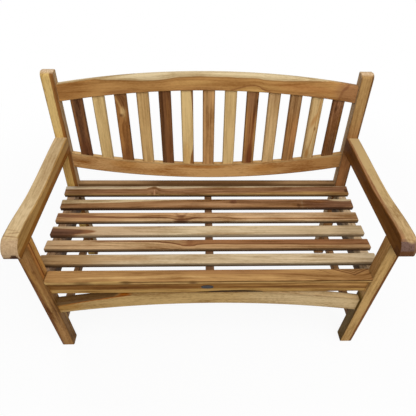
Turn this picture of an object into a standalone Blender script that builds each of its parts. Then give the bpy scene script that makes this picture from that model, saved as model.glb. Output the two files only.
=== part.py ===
"""Teak garden bench: two leg-and-arm side frames, an arched slatted back and a dished slatted seat.

Every rail is tenoned into the legs, and the back slats are housed in two curved rails. Metres,
+Z up. X runs across the seat, Y runs from the front to the back, and the floor is Z = 0.
"""

import math

import bmesh
import bpy
from mathutils import Vector

# Overall size
BENCH_WIDTH = 1.200
BENCH_HEIGHT = 0.909
LEG_WIDTH = 0.048
FIT_GAP = 0.0003
EDGE_ROUND = 0.003

# Side frames: distances along Y are taken from the front face of the front legs
FRONT_LEG_DEPTH = 0.044
REAR_LEG_SETBACK = 0.482
REAR_LEG_DEPTH = 0.044
LEG_EDGE_ROUND = 0.004
ARM_UNDERSIDE = 0.609
ARM_LOW_THICKNESS = 0.046
ARM_LOW_Y = 0.205
ARM_CROWN_Y = 0.010
ARM_FRONT_RISE = 0.012
ARM_REAR_RISE = 0.0085
ARM_OVERHANG = 0.052
ARM_NOSE_RADIUS = 0.042
ARM_TOE_RADIUS = 0.010
ARM_EDGE_ROUND = 0.007

# Back: distances run up the raked posts from the bend in the rear legs
RAKE = math.radians(7.24)
BEND_HEIGHT = 0.380
BEND_RADIUS = 0.12
POST_DEPTH = 0.0362
POST_FRONT_ROUND = 0.020
POST_BACK_ROUND = 0.004
BACK_RAIL_THICKNESS = 0.026
CREST_DROP = 0.001
CREST_HEIGHT = 0.064
CREST_RISE = 0.0445
CREST_NOSE_ROUND = 0.009
LOWER_RAIL_START = 0.102
LOWER_RAIL_HEIGHT = 0.0625
LOWER_RAIL_SAG = 0.0495
BACK_SLAT_COUNT = 13
BACK_SLAT_WIDTH = 0.046
BACK_SLAT_THICKNESS = 0.013
BACK_SLAT_HOUSING = 0.012

# Seat
SLAT_COUNT = 6
SLAT_WIDTH = 0.046
SLAT_THICKNESS = 0.019
SLAT_END_INSET = 0.001
SEAT_REAR_CLEARANCE = 0.0013
SEAT_FRONT_GAP = 0.0317
SEAT_LOW_HEIGHT = 0.4295
SEAT_LOW_Y = 0.250
SEAT_FRONT_RISE = 0.0135
SEAT_REAR_RISE = 0.0167
FRONT_SLAT_WIDTH = 0.048
FRONT_SLAT_NOSING = 0.008
FRONT_SLAT_END_GAP = 0.001

# Seat frame
SIDE_RAIL_THICKNESS = 0.030
SIDE_RAIL_INSET = 0.010
SIDE_RAIL_UNDERSIDE = 0.320
FRONT_RAIL_UNDERSIDE = 0.350
FRONT_RAIL_SETBACK = 0.010
FRONT_RAIL_THICKNESS = 0.026
REAR_RAIL_INSET = 0.012
REAR_RAIL_THICKNESS = 0.026
REAR_RAIL_RISE = 0.0048
REAR_RAIL_HEIGHT = 0.070
CENTRE_BEARER_THICKNESS = 0.029
CENTRE_BEARER_UNDERSIDE = 0.360
APRON_HEIGHT = 0.068
APRON_RISE = 0.0545
APRON_THICKNESS = 0.026
STRETCHER_UNDERSIDE = 0.113
STRETCHER_HEIGHT = 0.032
STRETCHER_THICKNESS = 0.026

# Joints
RAIL_TENON_DEPTH = 0.022
SIDE_TENON_DEPTH = 0.012
STRETCHER_TENON_DEPTH = 0.020
BEARER_TENON_DEPTH = 0.010
ARM_TENON_DEPTH = 0.018
LEG_TENON_HEIGHT = 0.028
TENON_THICKNESS = 0.012
TENON_ROOT = 0.004
SHOULDER = 0.008

# Facets
ARCH_STEPS = 20
ARM_STEPS = 6
NOSE_STEPS = 8
CORNER_STEPS = 5

# Sizes that follow from those above
HALF_WIDTH = BENCH_WIDTH / 2
LEG_INNER = HALF_WIDTH - LEG_WIDTH
LEG_CENTRE = HALF_WIDTH - LEG_WIDTH / 2
HALF_SPAN = LEG_INNER - FIT_GAP
ARM_LOW_TOP = ARM_UNDERSIDE + ARM_LOW_THICKNESS
ARM_CROWN = ARM_LOW_TOP + ARM_FRONT_RISE
ARM_REAR_TOP = ARM_LOW_TOP + ARM_REAR_RISE
REAR_LEG_BACK = REAR_LEG_SETBACK + REAR_LEG_DEPTH
POST_ROUND_LOSS = POST_FRONT_ROUND * (math.sin(RAKE) + math.cos(RAKE) - 1)
POST_LENGTH = (BENCH_HEIGHT - BEND_HEIGHT + POST_ROUND_LOSS) / math.cos(RAKE)
CREST_TOP = POST_LENGTH - CREST_DROP
CREST_LOW = CREST_TOP - CREST_HEIGHT
LOWER_RAIL_TOP = LOWER_RAIL_START + LOWER_RAIL_HEIGHT
BACK_SLATS_WIDTH = BACK_SLAT_COUNT * BACK_SLAT_WIDTH
BACK_SLAT_GAP = (2 * LEG_INNER - BACK_SLATS_WIDTH) / (BACK_SLAT_COUNT + 1)
BACK_SLAT_PITCH = BACK_SLAT_WIDTH + BACK_SLAT_GAP
SEAT_REAR_EDGE = REAR_LEG_SETBACK - SEAT_REAR_CLEARANCE
FRONT_SLAT_BACK = FRONT_SLAT_WIDTH - FRONT_SLAT_NOSING
SLATS_DEPTH = SEAT_REAR_EDGE - FRONT_SLAT_BACK - SEAT_FRONT_GAP
SLAT_GAP = (SLATS_DEPTH - SLAT_COUNT * SLAT_WIDTH) / (SLAT_COUNT - 1)
SLAT_PITCH = SLAT_WIDTH + SLAT_GAP
REAR_SLAT_CENTRE = SEAT_REAR_EDGE - SLAT_WIDTH / 2
FRONT_SLAT_CENTRE = FRONT_SLAT_WIDTH / 2 - FRONT_SLAT_NOSING
FRONT_SLAT_TOP = SEAT_LOW_HEIGHT + SEAT_FRONT_RISE
FRONT_RAIL_TOP = FRONT_SLAT_TOP - SLAT_THICKNESS - FIT_GAP
FRONT_RAIL_CENTRE = FRONT_RAIL_SETBACK + FRONT_RAIL_THICKNESS / 2
FRONT_RAIL_BACK = FRONT_RAIL_SETBACK + FRONT_RAIL_THICKNESS
REAR_RAIL_FRONT = REAR_LEG_SETBACK + REAR_RAIL_INSET
REAR_RAIL_CENTRE = REAR_RAIL_FRONT + REAR_RAIL_THICKNESS / 2
REAR_RAIL_TOP = SEAT_LOW_HEIGHT + SEAT_REAR_RISE + REAR_RAIL_RISE
REAR_RAIL_UNDERSIDE = REAR_RAIL_TOP - REAR_RAIL_HEIGHT
SIDE_RAIL_CENTRE = HALF_WIDTH - SIDE_RAIL_INSET - SIDE_RAIL_THICKNESS / 2
APRON_TOP = FRONT_RAIL_UNDERSIDE - FIT_GAP
APRON_UNDERSIDE = APRON_TOP - APRON_HEIGHT
APRON_CENTRE = FRONT_RAIL_SETBACK + APRON_THICKNESS / 2
SIDES = ((-1, "left"), (1, "right"))

# Teak tones, as seen: (red, green, blue) in display values
HONEY = (0.72, 0.58, 0.38)
TAN = (0.68, 0.53, 0.35)
SAND = (0.72, 0.60, 0.44)
RUSSET = (0.62, 0.43, 0.25)
BROWN = (0.50, 0.35, 0.22)
DARK = (0.34, 0.21, 0.14)
BACK_TONES = (
    DARK, SAND, BROWN, SAND, DARK, TAN, BROWN,
    SAND, BROWN, SAND, BROWN, TAN, DARK,
)
SEAT_TONES = (BROWN, BROWN, TAN, SAND, RUSSET, SAND)


def clear_scene():
    for old in list(bpy.data.objects):
        bpy.data.objects.remove(old, do_unlink=True)


def linear(value):
    """Display value to the linear value that a shader takes."""
    if value <= 0.04045:
        return value / 12.92
    return ((value + 0.055) / 1.055) ** 2.4


def teak(name, tone):
    material = bpy.data.materials.new(name + "_teak")
    material.use_nodes = True
    shader = material.node_tree.nodes["Principled BSDF"]
    shader.inputs["Base Color"].default_value = (*[linear(c) for c in tone], 1.0)
    shader.inputs["Roughness"].default_value = 0.55
    shader.inputs["Metallic"].default_value = 0.0
    return material


def frame_empty(name, location, tilt=0.0, parent=None):
    empty = bpy.data.objects.new(name, None)
    bpy.context.scene.collection.objects.link(empty)
    empty.location = location
    empty.rotation_euler = (-tilt, 0.0, 0.0)
    empty.parent = parent
    return empty


def rounded(corners):
    """An outline from (u, v, radius, steps) corners, each rounded by an arc of its radius."""
    outline = []
    count = len(corners)
    for i, (u, v, radius, steps) in enumerate(corners):
        here = Vector((u, v))
        if radius == 0:
            outline.append((u, v))
            continue
        before = (Vector(corners[i - 1][:2]) - here).normalized()
        after = (Vector(corners[(i + 1) % count][:2]) - here).normalized()
        half_angle = before.angle(after) / 2
        centre = here + (before + after).normalized() * (radius / math.sin(half_angle))
        start = here + before * (radius / math.tan(half_angle)) - centre
        turn = math.pi - 2 * half_angle
        if before.x * after.y - before.y * after.x > 0:
            turn = -turn
        for step in range(steps + 1):
            angle = turn * step / steps
            x = start.x * math.cos(angle) - start.y * math.sin(angle)
            y = start.x * math.sin(angle) + start.y * math.cos(angle)
            outline.append((centre.x + x, centre.y + y))
    return outline


def board(name, outline, width, across, rim=None):
    """A board cut to an outline. across names the axis that its width lies on, centred on 0.

    rim(u, v, side) gives the share of the full edge rounding that each rim edge takes.
    """
    mesh = bpy.data.meshes.new(name)
    bm = bmesh.new()
    rings = []
    for side in (-1, 1):
        w = side * width / 2
        ring = []
        for u, v in outline:
            ring.append(bm.verts.new((w, u, v) if across == "X" else (u, w, v)))
        rings.append(ring)
    count = len(outline)
    bm.faces.new(rings[0])
    bm.faces.new(rings[1][::-1])
    for i in range(count):
        j = (i + 1) % count
        bm.faces.new((rings[0][j], rings[0][i], rings[1][i], rings[1][j]))
    if rim:
        weight = bm.edges.layers.float.new("bevel_weight_edge")
        for side, ring in zip((-1, 1), rings):
            for i in range(count):
                j = (i + 1) % count
                u = (outline[i][0] + outline[j][0]) / 2
                v = (outline[i][1] + outline[j][1]) / 2
                bm.edges.get((ring[i], ring[j]))[weight] = rim(u, v, side)
    bmesh.ops.recalc_face_normals(bm, faces=bm.faces[:])
    bm.to_mesh(mesh)
    bm.free()
    return mesh


def block(name, size):
    mesh = bpy.data.meshes.new(name)
    bm = bmesh.new()
    bmesh.ops.create_cube(bm, size=1.0)
    bmesh.ops.scale(bm, vec=size, verts=bm.verts[:])
    bm.to_mesh(mesh)
    bm.free()
    return mesh


def add_object(name, mesh, location, parent):
    piece = bpy.data.objects.new(name, mesh)
    bpy.context.scene.collection.objects.link(piece)
    piece.location = location
    piece.parent = parent
    return piece


def add_piece(name, mesh, tone, location, parent):
    mesh.shade_smooth()
    mesh.set_sharp_from_angle(angle=math.radians(35))
    piece = add_object(name, mesh, location, parent)
    piece.data.materials.append(teak(name, tone))
    return piece


def add_cutter(name, size, location, parent):
    shape = add_object(name, block(name, size), location, parent)
    shape.hide_render = True
    shape.display_type = "WIRE"
    return shape


def round_edges(piece, radius=EDGE_ROUND, segments=2, weighted=False):
    bevel = piece.modifiers.new("edge_round", "BEVEL")
    bevel.width = radius
    bevel.segments = segments
    bevel.limit_method = "WEIGHT" if weighted else "ANGLE"
    bevel.angle_limit = math.radians(40)


def boolean(piece, tool, operation):
    change = piece.modifiers.new(tool.name, "BOOLEAN")
    change.operation = operation
    change.solver = "EXACT"
    change.object = tool


def tenon_joint(label, tongue, socket, centre, size, into, parent):
    """A tenon on tongue, with its mortise cut in socket.

    centre and size give the part of the tenon beyond its shoulder, and into is the unit
    direction that it enters by. The tenon is rooted in its own board, and the mortise is
    open towards that board.
    """
    into = Vector(into)
    centre = Vector(centre)
    size = Vector(size)
    along = Vector([abs(c) for c in into])
    length = size.dot(along)
    rooted = size + along * TENON_ROOT
    tenon = add_cutter(label + "_tenon", rooted, centre - into * TENON_ROOT / 2, parent)
    room = size + Vector((1, 1, 1)) * 2 * FIT_GAP + along * length
    mortise = add_cutter(label + "_mortise", room, centre - into * length / 2, parent)
    boolean(tongue, tenon, "UNION")
    boolean(socket, mortise, "DIFFERENCE")


def arch(x, rise):
    """How far a circular arch of this rise over the span has fallen at x from its crown."""
    radius = (HALF_SPAN**2 + rise**2) / (2 * rise)
    return radius - math.sqrt(radius**2 - x**2)


def arched_board(low, high, rise, turn):
    """Outline of a board with two like arched edges. turn is -1 for a crown, 1 for a sag."""
    xs = [HALF_SPAN * (2 * i / ARCH_STEPS - 1) for i in range(ARCH_STEPS + 1)]
    bottom = [(x, low + turn * arch(x, rise)) for x in xs]
    top = [(x, high + turn * arch(x, rise)) for x in xs]
    return bottom + top[::-1]


def seat_height(y):
    """Height of the seat's top surface, lowest at SEAT_LOW_Y and rising both ways."""
    if y < SEAT_LOW_Y:
        share = (SEAT_LOW_Y - y) / (SEAT_LOW_Y - FRONT_SLAT_CENTRE)
        return SEAT_LOW_HEIGHT + SEAT_FRONT_RISE * share**2
    share = (y - SEAT_LOW_Y) / (REAR_SLAT_CENTRE - SEAT_LOW_Y)
    return SEAT_LOW_HEIGHT + SEAT_REAR_RISE * share**2


def seat_tilt(y):
    step = 0.001
    return math.atan2(seat_height(y + step) - seat_height(y - step), 2 * step)


def slat_places():
    """(y, z, tilt) at the middle of each seat slat's top face, from the rear forwards."""
    centres = [REAR_SLAT_CENTRE - i * SLAT_PITCH for i in range(SLAT_COUNT)]
    return [(y, seat_height(y), seat_tilt(y)) for y in centres]


def slat_bed():
    """The flats planed under the seat slats, as (y, z) points from the front to the rear."""
    bed = []
    for y, z, tilt in reversed(slat_places()):
        along = Vector((math.cos(tilt), math.sin(tilt)))
        down = Vector((math.sin(tilt), -math.cos(tilt)))
        middle = Vector((y, z)) + down * (SLAT_THICKNESS + FIT_GAP)
        bed.append(tuple(middle - along * SLAT_WIDTH / 2))
        bed.append(tuple(middle + along * SLAT_WIDTH / 2))
    return bed


def post_face(height):
    """Distance back of the raked posts' front face, at a height above the bend."""
    return REAR_LEG_SETBACK + (height - BEND_HEIGHT) * math.tan(RAKE)


def front_leg(side, name, bench):
    top = ARM_UNDERSIDE - FIT_GAP
    outline = [(0, 0), (FRONT_LEG_DEPTH, 0), (FRONT_LEG_DEPTH, top), (0, top)]
    name = "front_leg_" + name
    mesh = board(name, outline, LEG_WIDTH, "X")
    leg = add_piece(name, mesh, TAN, (side * LEG_CENTRE, 0, 0), bench)
    round_edges(leg, LEG_EDGE_ROUND)
    return leg


def rear_leg_outline():
    """The rear leg from the side: upright to the seat, then raked back as the back's post."""
    up = Vector((math.sin(RAKE), math.cos(RAKE)))
    back = Vector((math.cos(RAKE), -math.sin(RAKE)))
    bend = Vector((REAR_LEG_SETBACK, BEND_HEIGHT))
    front_top = bend + up * POST_LENGTH
    back_top = front_top + back * POST_DEPTH
    back_foot = bend + back * POST_DEPTH
    back_bend = back_foot + up * ((REAR_LEG_BACK - back_foot.x) / up.x)
    return rounded([
        (REAR_LEG_SETBACK, 0, 0, 0),
        (REAR_LEG_BACK, 0, 0, 0),
        (*back_bend, BEND_RADIUS, CORNER_STEPS),
        (*back_top, POST_BACK_ROUND, CORNER_STEPS),
        (*front_top, POST_FRONT_ROUND, NOSE_STEPS),
        (*bend, BEND_RADIUS, CORNER_STEPS),
    ])


def rear_leg(side, name, bench):
    name = "rear_leg_" + name
    mesh = board(name, rear_leg_outline(), LEG_WIDTH, "X")
    leg = add_piece(name, mesh, HONEY, (side * LEG_CENTRE, 0, 0), bench)
    round_edges(leg, LEG_EDGE_ROUND)
    return leg


def arm_rim(y, z, face):
    """Full rounding over the arm's top and nose, a little below, and none where it butts."""
    if y > post_face(ARM_UNDERSIDE) - 2 * FIT_GAP:
        return 0.0
    return 1.0 if z > ARM_UNDERSIDE + ARM_TOE_RADIUS else EDGE_ROUND / ARM_EDGE_ROUND


def arm_scoop():
    """The arm's scooped top as (y, z, 0, 0) corners, from the post down and up to the crown."""
    rear = post_face(ARM_REAR_TOP) - FIT_GAP
    scoop = []
    for start, end, rise, way in (
        (rear, ARM_LOW_Y, ARM_REAR_RISE, 1),
        (ARM_LOW_Y, ARM_CROWN_Y, ARM_FRONT_RISE, -1),
    ):
        for i in range(ARM_STEPS):
            share = i / ARM_STEPS
            z = ARM_LOW_TOP + rise * (1 + way * math.cos(math.pi * share)) / 2
            scoop.append((start + (end - start) * share, z, 0, 0))
    return scoop + [(ARM_CROWN_Y, ARM_CROWN, 0, 0)]


def arm(side, name, bench):
    name = "arm_" + name
    outline = rounded([
        (-ARM_OVERHANG, ARM_UNDERSIDE, ARM_TOE_RADIUS, CORNER_STEPS),
        (post_face(ARM_UNDERSIDE) - FIT_GAP, ARM_UNDERSIDE, 0, 0),
        *arm_scoop(),
        (-ARM_OVERHANG, ARM_CROWN, ARM_NOSE_RADIUS, NOSE_STEPS),
    ])
    mesh = board(name, outline, LEG_WIDTH, "X", arm_rim)
    piece = add_piece(name, mesh, SAND, (side * LEG_CENTRE, 0, 0), bench)
    round_edges(piece, ARM_EDGE_ROUND, 3, weighted=True)
    return piece


def side_rail(side, name, bench):
    """The rail under the slat ends, cut at the rear to follow the bend of the leg."""
    name = "side_rail_" + name
    bed = slat_bed()
    front = FRONT_LEG_DEPTH + FIT_GAP
    rear = REAR_LEG_SETBACK - FIT_GAP
    outline = [(rear, SIDE_RAIL_UNDERSIDE), (front, SIDE_RAIL_UNDERSIDE)]
    outline += [(front, bed[0][1])] + bed
    outline += [(post_face(bed[-1][1]) - FIT_GAP, bed[-1][1]), (rear, BEND_HEIGHT)]

    def rim(y, z, face):
        return 1.0 if z < SIDE_RAIL_UNDERSIDE + FIT_GAP else 0.0

    mesh = board(name, outline, SIDE_RAIL_THICKNESS, "X", rim)
    piece = add_piece(name, mesh, BROWN, (side * SIDE_RAIL_CENTRE, 0, 0), bench)
    round_edges(piece, weighted=True)
    return piece


def side_stretcher(side, name, bench):
    name = "side_stretcher_" + name
    front = FRONT_LEG_DEPTH + FIT_GAP
    rear = REAR_LEG_SETBACK - FIT_GAP
    low = STRETCHER_UNDERSIDE
    high = low + STRETCHER_HEIGHT
    outline = [(front, low), (rear, low), (rear, high), (front, high)]

    def rim(y, z, face):
        return 1.0 if min(z - low, high - z) < FIT_GAP else 0.0

    mesh = board(name, outline, STRETCHER_THICKNESS, "X", rim)
    piece = add_piece(name, mesh, TAN, (side * LEG_CENTRE, 0, 0), bench)
    round_edges(piece, weighted=True)
    return piece


def long_rim(x, z, face):
    """Rounds the long edges of a board that runs across, and leaves its ends square."""
    return 0.0 if abs(x) > HALF_SPAN - FIT_GAP else 1.0


def crest_rim(x, z, face):
    """The crest's top front edge is rounded far more than its other edges."""
    if abs(x) > HALF_SPAN - FIT_GAP:
        return 0.0
    if z < CREST_TOP - CREST_HEIGHT / 2 - arch(x, CREST_RISE):
        return EDGE_ROUND / CREST_NOSE_ROUND
    return 1.0 if face < 0 else EDGE_ROUND / CREST_NOSE_ROUND


def crest_rail(back):
    outline = arched_board(CREST_LOW, CREST_TOP, CREST_RISE, -1)
    mesh = board("crest_rail", outline, BACK_RAIL_THICKNESS, "Y", crest_rim)
    piece = add_piece("crest_rail", mesh, RUSSET, (0, POST_DEPTH / 2, 0), back)
    round_edges(piece, CREST_NOSE_ROUND, 3, weighted=True)
    return piece


def lower_back_rail(back):
    outline = arched_board(LOWER_RAIL_START, LOWER_RAIL_TOP, LOWER_RAIL_SAG, 1)
    mesh = board("lower_back_rail", outline, BACK_RAIL_THICKNESS, "Y", long_rim)
    piece = add_piece("lower_back_rail", mesh, TAN, (0, POST_DEPTH / 2, 0), back)
    round_edges(piece, weighted=True)
    return piece


def house_slat(label, rail, x, low, high, back):
    """The slot in a curved rail that takes the end of one back slat."""
    width = BACK_SLAT_WIDTH + 2 * FIT_GAP
    depth = BACK_SLAT_THICKNESS + 2 * FIT_GAP
    place = (x, POST_DEPTH / 2, (low + high) / 2)
    boolean(rail, add_cutter(label, (width, depth, high - low), place, back), "DIFFERENCE")


def back_slats(crest, lower, back):
    """Upright slats, each as long as the gap between the two curves where it stands."""
    half = BACK_SLAT_WIDTH / 2
    for i in range(BACK_SLAT_COUNT):
        name = f"back_slat_{i + 1:02d}"
        x = (i - (BACK_SLAT_COUNT - 1) / 2) * BACK_SLAT_PITCH
        foot = LOWER_RAIL_TOP + arch(x, LOWER_RAIL_SAG)
        head = CREST_LOW - arch(x, CREST_RISE)
        low = foot - BACK_SLAT_HOUSING
        high = head + BACK_SLAT_HOUSING
        outline = [(-half, low), (half, low), (half, high), (-half, high)]

        def rim(u, v, face):
            return 1.0 if abs(u) > half - FIT_GAP else 0.0

        mesh = board(name, outline, BACK_SLAT_THICKNESS, "Y", rim)
        slat = add_piece(name, mesh, BACK_TONES[i % len(BACK_TONES)], (x, POST_DEPTH / 2, 0), back)
        round_edges(slat, weighted=True)
        house_slat(name + "_foot", lower, x, low - FIT_GAP, foot + BACK_SLAT_HOUSING, back)
        house_slat(name + "_head", crest, x, head - BACK_SLAT_HOUSING, high + FIT_GAP, back)


def cross_rail(name, tone, low, high, y, thickness, bench):
    span = HALF_SPAN
    outline = [(-span, low), (span, low), (span, high), (-span, high)]
    piece = add_piece(name, board(name, outline, thickness, "Y", long_rim), tone, (0, y, 0), bench)
    round_edges(piece, weighted=True)
    return piece


def front_apron(bench):
    outline = arched_board(APRON_UNDERSIDE, APRON_TOP, APRON_RISE, -1)
    mesh = board("front_apron", outline, APRON_THICKNESS, "Y", long_rim)
    piece = add_piece("front_apron", mesh, HONEY, (0, APRON_CENTRE, 0), bench)
    round_edges(piece, weighted=True)
    return piece


def centre_bearer(front_rail, rear_rail, bench):
    """The bearer under the middle of the slats, tenoned into the front and rear rails."""
    bed = slat_bed()
    front = FRONT_RAIL_BACK + FIT_GAP
    rear = REAR_RAIL_FRONT - FIT_GAP
    low = CENTRE_BEARER_UNDERSIDE
    outline = [(rear, low), (front, low), (front, bed[0][1])] + bed + [(rear, bed[-1][1])]

    def rim(y, z, face):
        return 1.0 if z < low + FIT_GAP else 0.0

    mesh = board("centre_bearer", outline, CENTRE_BEARER_THICKNESS, "X", rim)
    bearer = add_piece("centre_bearer", mesh, BROWN, (0, 0, 0), bench)
    round_edges(bearer, weighted=True)
    top = min(z for y, z in bed)
    for label, rail, face, rail_low, into in (
        ("bearer_front", front_rail, FRONT_RAIL_BACK, low, -1),
        ("bearer_rear", rear_rail, REAR_RAIL_FRONT, REAR_RAIL_UNDERSIDE, 1),
    ):
        size = (TENON_THICKNESS, BEARER_TENON_DEPTH, top - rail_low - 2 * SHOULDER)
        centre = (0, face + into * BEARER_TENON_DEPTH / 2, (top + rail_low) / 2)
        tenon_joint(label, bearer, rail, centre, size, (0, into, 0), bench)


def seat_slats(bench):
    size = (2 * (HALF_WIDTH - SLAT_END_INSET), SLAT_WIDTH, SLAT_THICKNESS)
    for i, (y, z, tilt) in enumerate(slat_places()):
        name = f"seat_slat_{i + 1}"
        down = Vector((0, math.sin(tilt), -math.cos(tilt)))
        place = Vector((0, y, z)) + down * (SLAT_THICKNESS / 2)
        slat = add_piece(name, block(name, size), SEAT_TONES[i % len(SEAT_TONES)], place, bench)
        slat.rotation_euler = (tilt, 0, 0)
        round_edges(slat)


def front_seat_slat(bench):
    """The slat along the seat's front edge, fitted between the front legs."""
    size = (2 * (LEG_INNER - FRONT_SLAT_END_GAP), FRONT_SLAT_WIDTH, SLAT_THICKNESS)
    place = (0, FRONT_SLAT_CENTRE, FRONT_SLAT_TOP - SLAT_THICKNESS / 2)
    name = "front_seat_slat"
    round_edges(add_piece(name, block(name, size), RUSSET, place, bench), LEG_EDGE_ROUND)


def join_cross_rail(rail, legs, y, low, high, parent):
    """A tenon at each end of a rail that runs across, with its mortise in the leg."""
    size = (RAIL_TENON_DEPTH, TENON_THICKNESS, high - low - 2 * SHOULDER)
    for side, leg in legs:
        centre = (side * (LEG_INNER + RAIL_TENON_DEPTH / 2), y, (low + high) / 2)
        label = f"{rail.name}_{leg.name}"
        tenon_joint(label, rail, leg, centre, size, (side, 0, 0), parent)


def join_side_board(piece, x, low, high, depth, front, rear, bench):
    """A tenon at each end of a board that runs back, with its mortise in the leg."""
    size = (TENON_THICKNESS, depth, high - low - 2 * SHOULDER)
    for leg, face, into in ((front, FRONT_LEG_DEPTH, -1), (rear, REAR_LEG_SETBACK, 1)):
        centre = (x, face + into * depth / 2, (low + high) / 2)
        label = f"{piece.name}_{leg.name}"
        tenon_joint(label, piece, leg, centre, size, (0, into, 0), bench)


def join_arm(piece, side, front, rear, bench):
    """The front leg is tenoned up into the arm, and the arm back into the raked post."""
    x = side * LEG_CENTRE
    size = (2 * TENON_THICKNESS, FRONT_LEG_DEPTH - 2 * SHOULDER, LEG_TENON_HEIGHT)
    centre = (x, FRONT_LEG_DEPTH / 2, ARM_UNDERSIDE + LEG_TENON_HEIGHT / 2)
    tenon_joint(piece.name + "_front", front, piece, centre, size, (0, 0, 1), bench)
    z = (ARM_UNDERSIDE + ARM_REAR_TOP) / 2
    size = (TENON_THICKNESS, ARM_TENON_DEPTH, ARM_REAR_TOP - ARM_UNDERSIDE - 3 * SHOULDER)
    centre = (x, post_face(z) + ARM_TENON_DEPTH / 2, z)
    tenon_joint(piece.name + "_rear", piece, rear, centre, size, (0, 1, 0), bench)


def side_frame(side, name, bench):
    front = front_leg(side, name, bench)
    rear = rear_leg(side, name, bench)
    rail = side_rail(side, name, bench)
    bed_low = SEAT_LOW_HEIGHT - SLAT_THICKNESS
    rail_x = side * SIDE_RAIL_CENTRE
    join_side_board(
        rail, rail_x, SIDE_RAIL_UNDERSIDE, bed_low, SIDE_TENON_DEPTH, front, rear, bench
    )
    stretcher = side_stretcher(side, name, bench)
    low = STRETCHER_UNDERSIDE
    high = low + STRETCHER_HEIGHT
    depth = STRETCHER_TENON_DEPTH
    join_side_board(stretcher, side * LEG_CENTRE, low, high, depth, front, rear, bench)
    join_arm(arm(side, name, bench), side, front, rear, bench)
    return front, rear


def seat_frame(front_legs, rear_legs, bench):
    low, high = FRONT_RAIL_UNDERSIDE, FRONT_RAIL_TOP
    y = FRONT_RAIL_CENTRE
    front_rail = cross_rail(
        "front_seat_rail", BROWN, low, high, y, FRONT_RAIL_THICKNESS, bench
    )
    join_cross_rail(front_rail, front_legs, y, low, high, bench)

    low, high = REAR_RAIL_UNDERSIDE, REAR_RAIL_TOP
    y = REAR_RAIL_CENTRE
    rear_rail = cross_rail(
        "rear_seat_rail", TAN, low, high, y, REAR_RAIL_THICKNESS, bench
    )
    join_cross_rail(rear_rail, rear_legs, y, low, high, bench)

    apron = front_apron(bench)
    low, high = APRON_UNDERSIDE - APRON_RISE, APRON_TOP - APRON_RISE
    join_cross_rail(apron, front_legs, APRON_CENTRE, low, high, bench)
    centre_bearer(front_rail, rear_rail, bench)


def back_panel(rear_legs, back):
    crest = crest_rail(back)
    low, high = CREST_LOW - CREST_RISE, CREST_TOP - CREST_RISE
    join_cross_rail(crest, rear_legs, POST_DEPTH / 2, low, high, back)
    lower = lower_back_rail(back)
    low, high = LOWER_RAIL_START + LOWER_RAIL_SAG, LOWER_RAIL_TOP + LOWER_RAIL_SAG
    join_cross_rail(lower, rear_legs, POST_DEPTH / 2, low, high, back)
    back_slats(crest, lower, back)


def build():
    clear_scene()
    rearmost = max(y for y, z in rear_leg_outline())
    bench = frame_empty("bench", (0, -(rearmost - ARM_OVERHANG) / 2, 0))
    back = frame_empty("back_frame", (0, REAR_LEG_SETBACK, BEND_HEIGHT), RAKE, bench)
    front_legs = []
    rear_legs = []
    for side, name in SIDES:
        front, rear = side_frame(side, name, bench)
        front_legs.append((side, front))
        rear_legs.append((side, rear))
    seat_frame(front_legs, rear_legs, bench)
    seat_slats(bench)
    front_seat_slat(bench)
    back_panel(rear_legs, back)


build()
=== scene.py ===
"""Looks of the teak garden bench: a teak for each board, a bare oval plate, a pale floor and soft light."""

import math

import bmesh
import bpy
from mathutils import Matrix, Vector


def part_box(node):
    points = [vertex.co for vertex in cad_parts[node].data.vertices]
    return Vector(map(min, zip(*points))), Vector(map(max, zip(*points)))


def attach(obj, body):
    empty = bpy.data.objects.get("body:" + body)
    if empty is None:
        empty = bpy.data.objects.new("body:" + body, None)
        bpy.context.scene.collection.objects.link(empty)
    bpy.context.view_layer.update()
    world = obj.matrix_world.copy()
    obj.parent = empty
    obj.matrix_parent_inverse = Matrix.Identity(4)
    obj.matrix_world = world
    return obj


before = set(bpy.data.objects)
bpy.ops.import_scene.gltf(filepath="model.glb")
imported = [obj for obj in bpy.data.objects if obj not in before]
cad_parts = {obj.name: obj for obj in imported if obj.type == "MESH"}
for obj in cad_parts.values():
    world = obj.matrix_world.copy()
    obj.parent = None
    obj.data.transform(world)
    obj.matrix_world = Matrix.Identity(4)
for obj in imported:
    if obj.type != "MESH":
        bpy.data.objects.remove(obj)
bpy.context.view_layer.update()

# Display tones of teak (red, green, blue)
CREAM = (0.80, 0.70, 0.54)
STRAW = (0.76, 0.63, 0.44)
GOLD = (0.72, 0.56, 0.34)
PINK = (0.70, 0.52, 0.38)
TAN = (0.66, 0.50, 0.33)
AMBER = (0.62, 0.44, 0.24)
RUSSET = (0.51, 0.33, 0.19)
BROWN = (0.47, 0.33, 0.20)
UMBER = (0.38, 0.25, 0.15)
PITCH = (0.20, 0.13, 0.07)
# The dark of an eased edge (wear and painted shade of its rounding), and the painted shade on a seat slat's
# front edge
EDGE = (0.32, 0.205, 0.105)
SHADE = (0.20, 0.125, 0.07)
# What takes a tone to its light and to its dark wood
LIGHT_WOOD = (1.12, 1.13, 1.15)
DARK_WOOD = (0.76, 0.67, 0.54)

# Directions
RAKE = math.radians(7.24)
UP_BACK = Vector((0.0, math.sin(RAKE), math.cos(RAKE)))
X = Vector((1.0, 0.0, 0.0))
Y = Vector((0.0, 1.0, 0.0))
Z = Vector((0.0, 0.0, 1.0))
MM = 0.001

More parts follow.
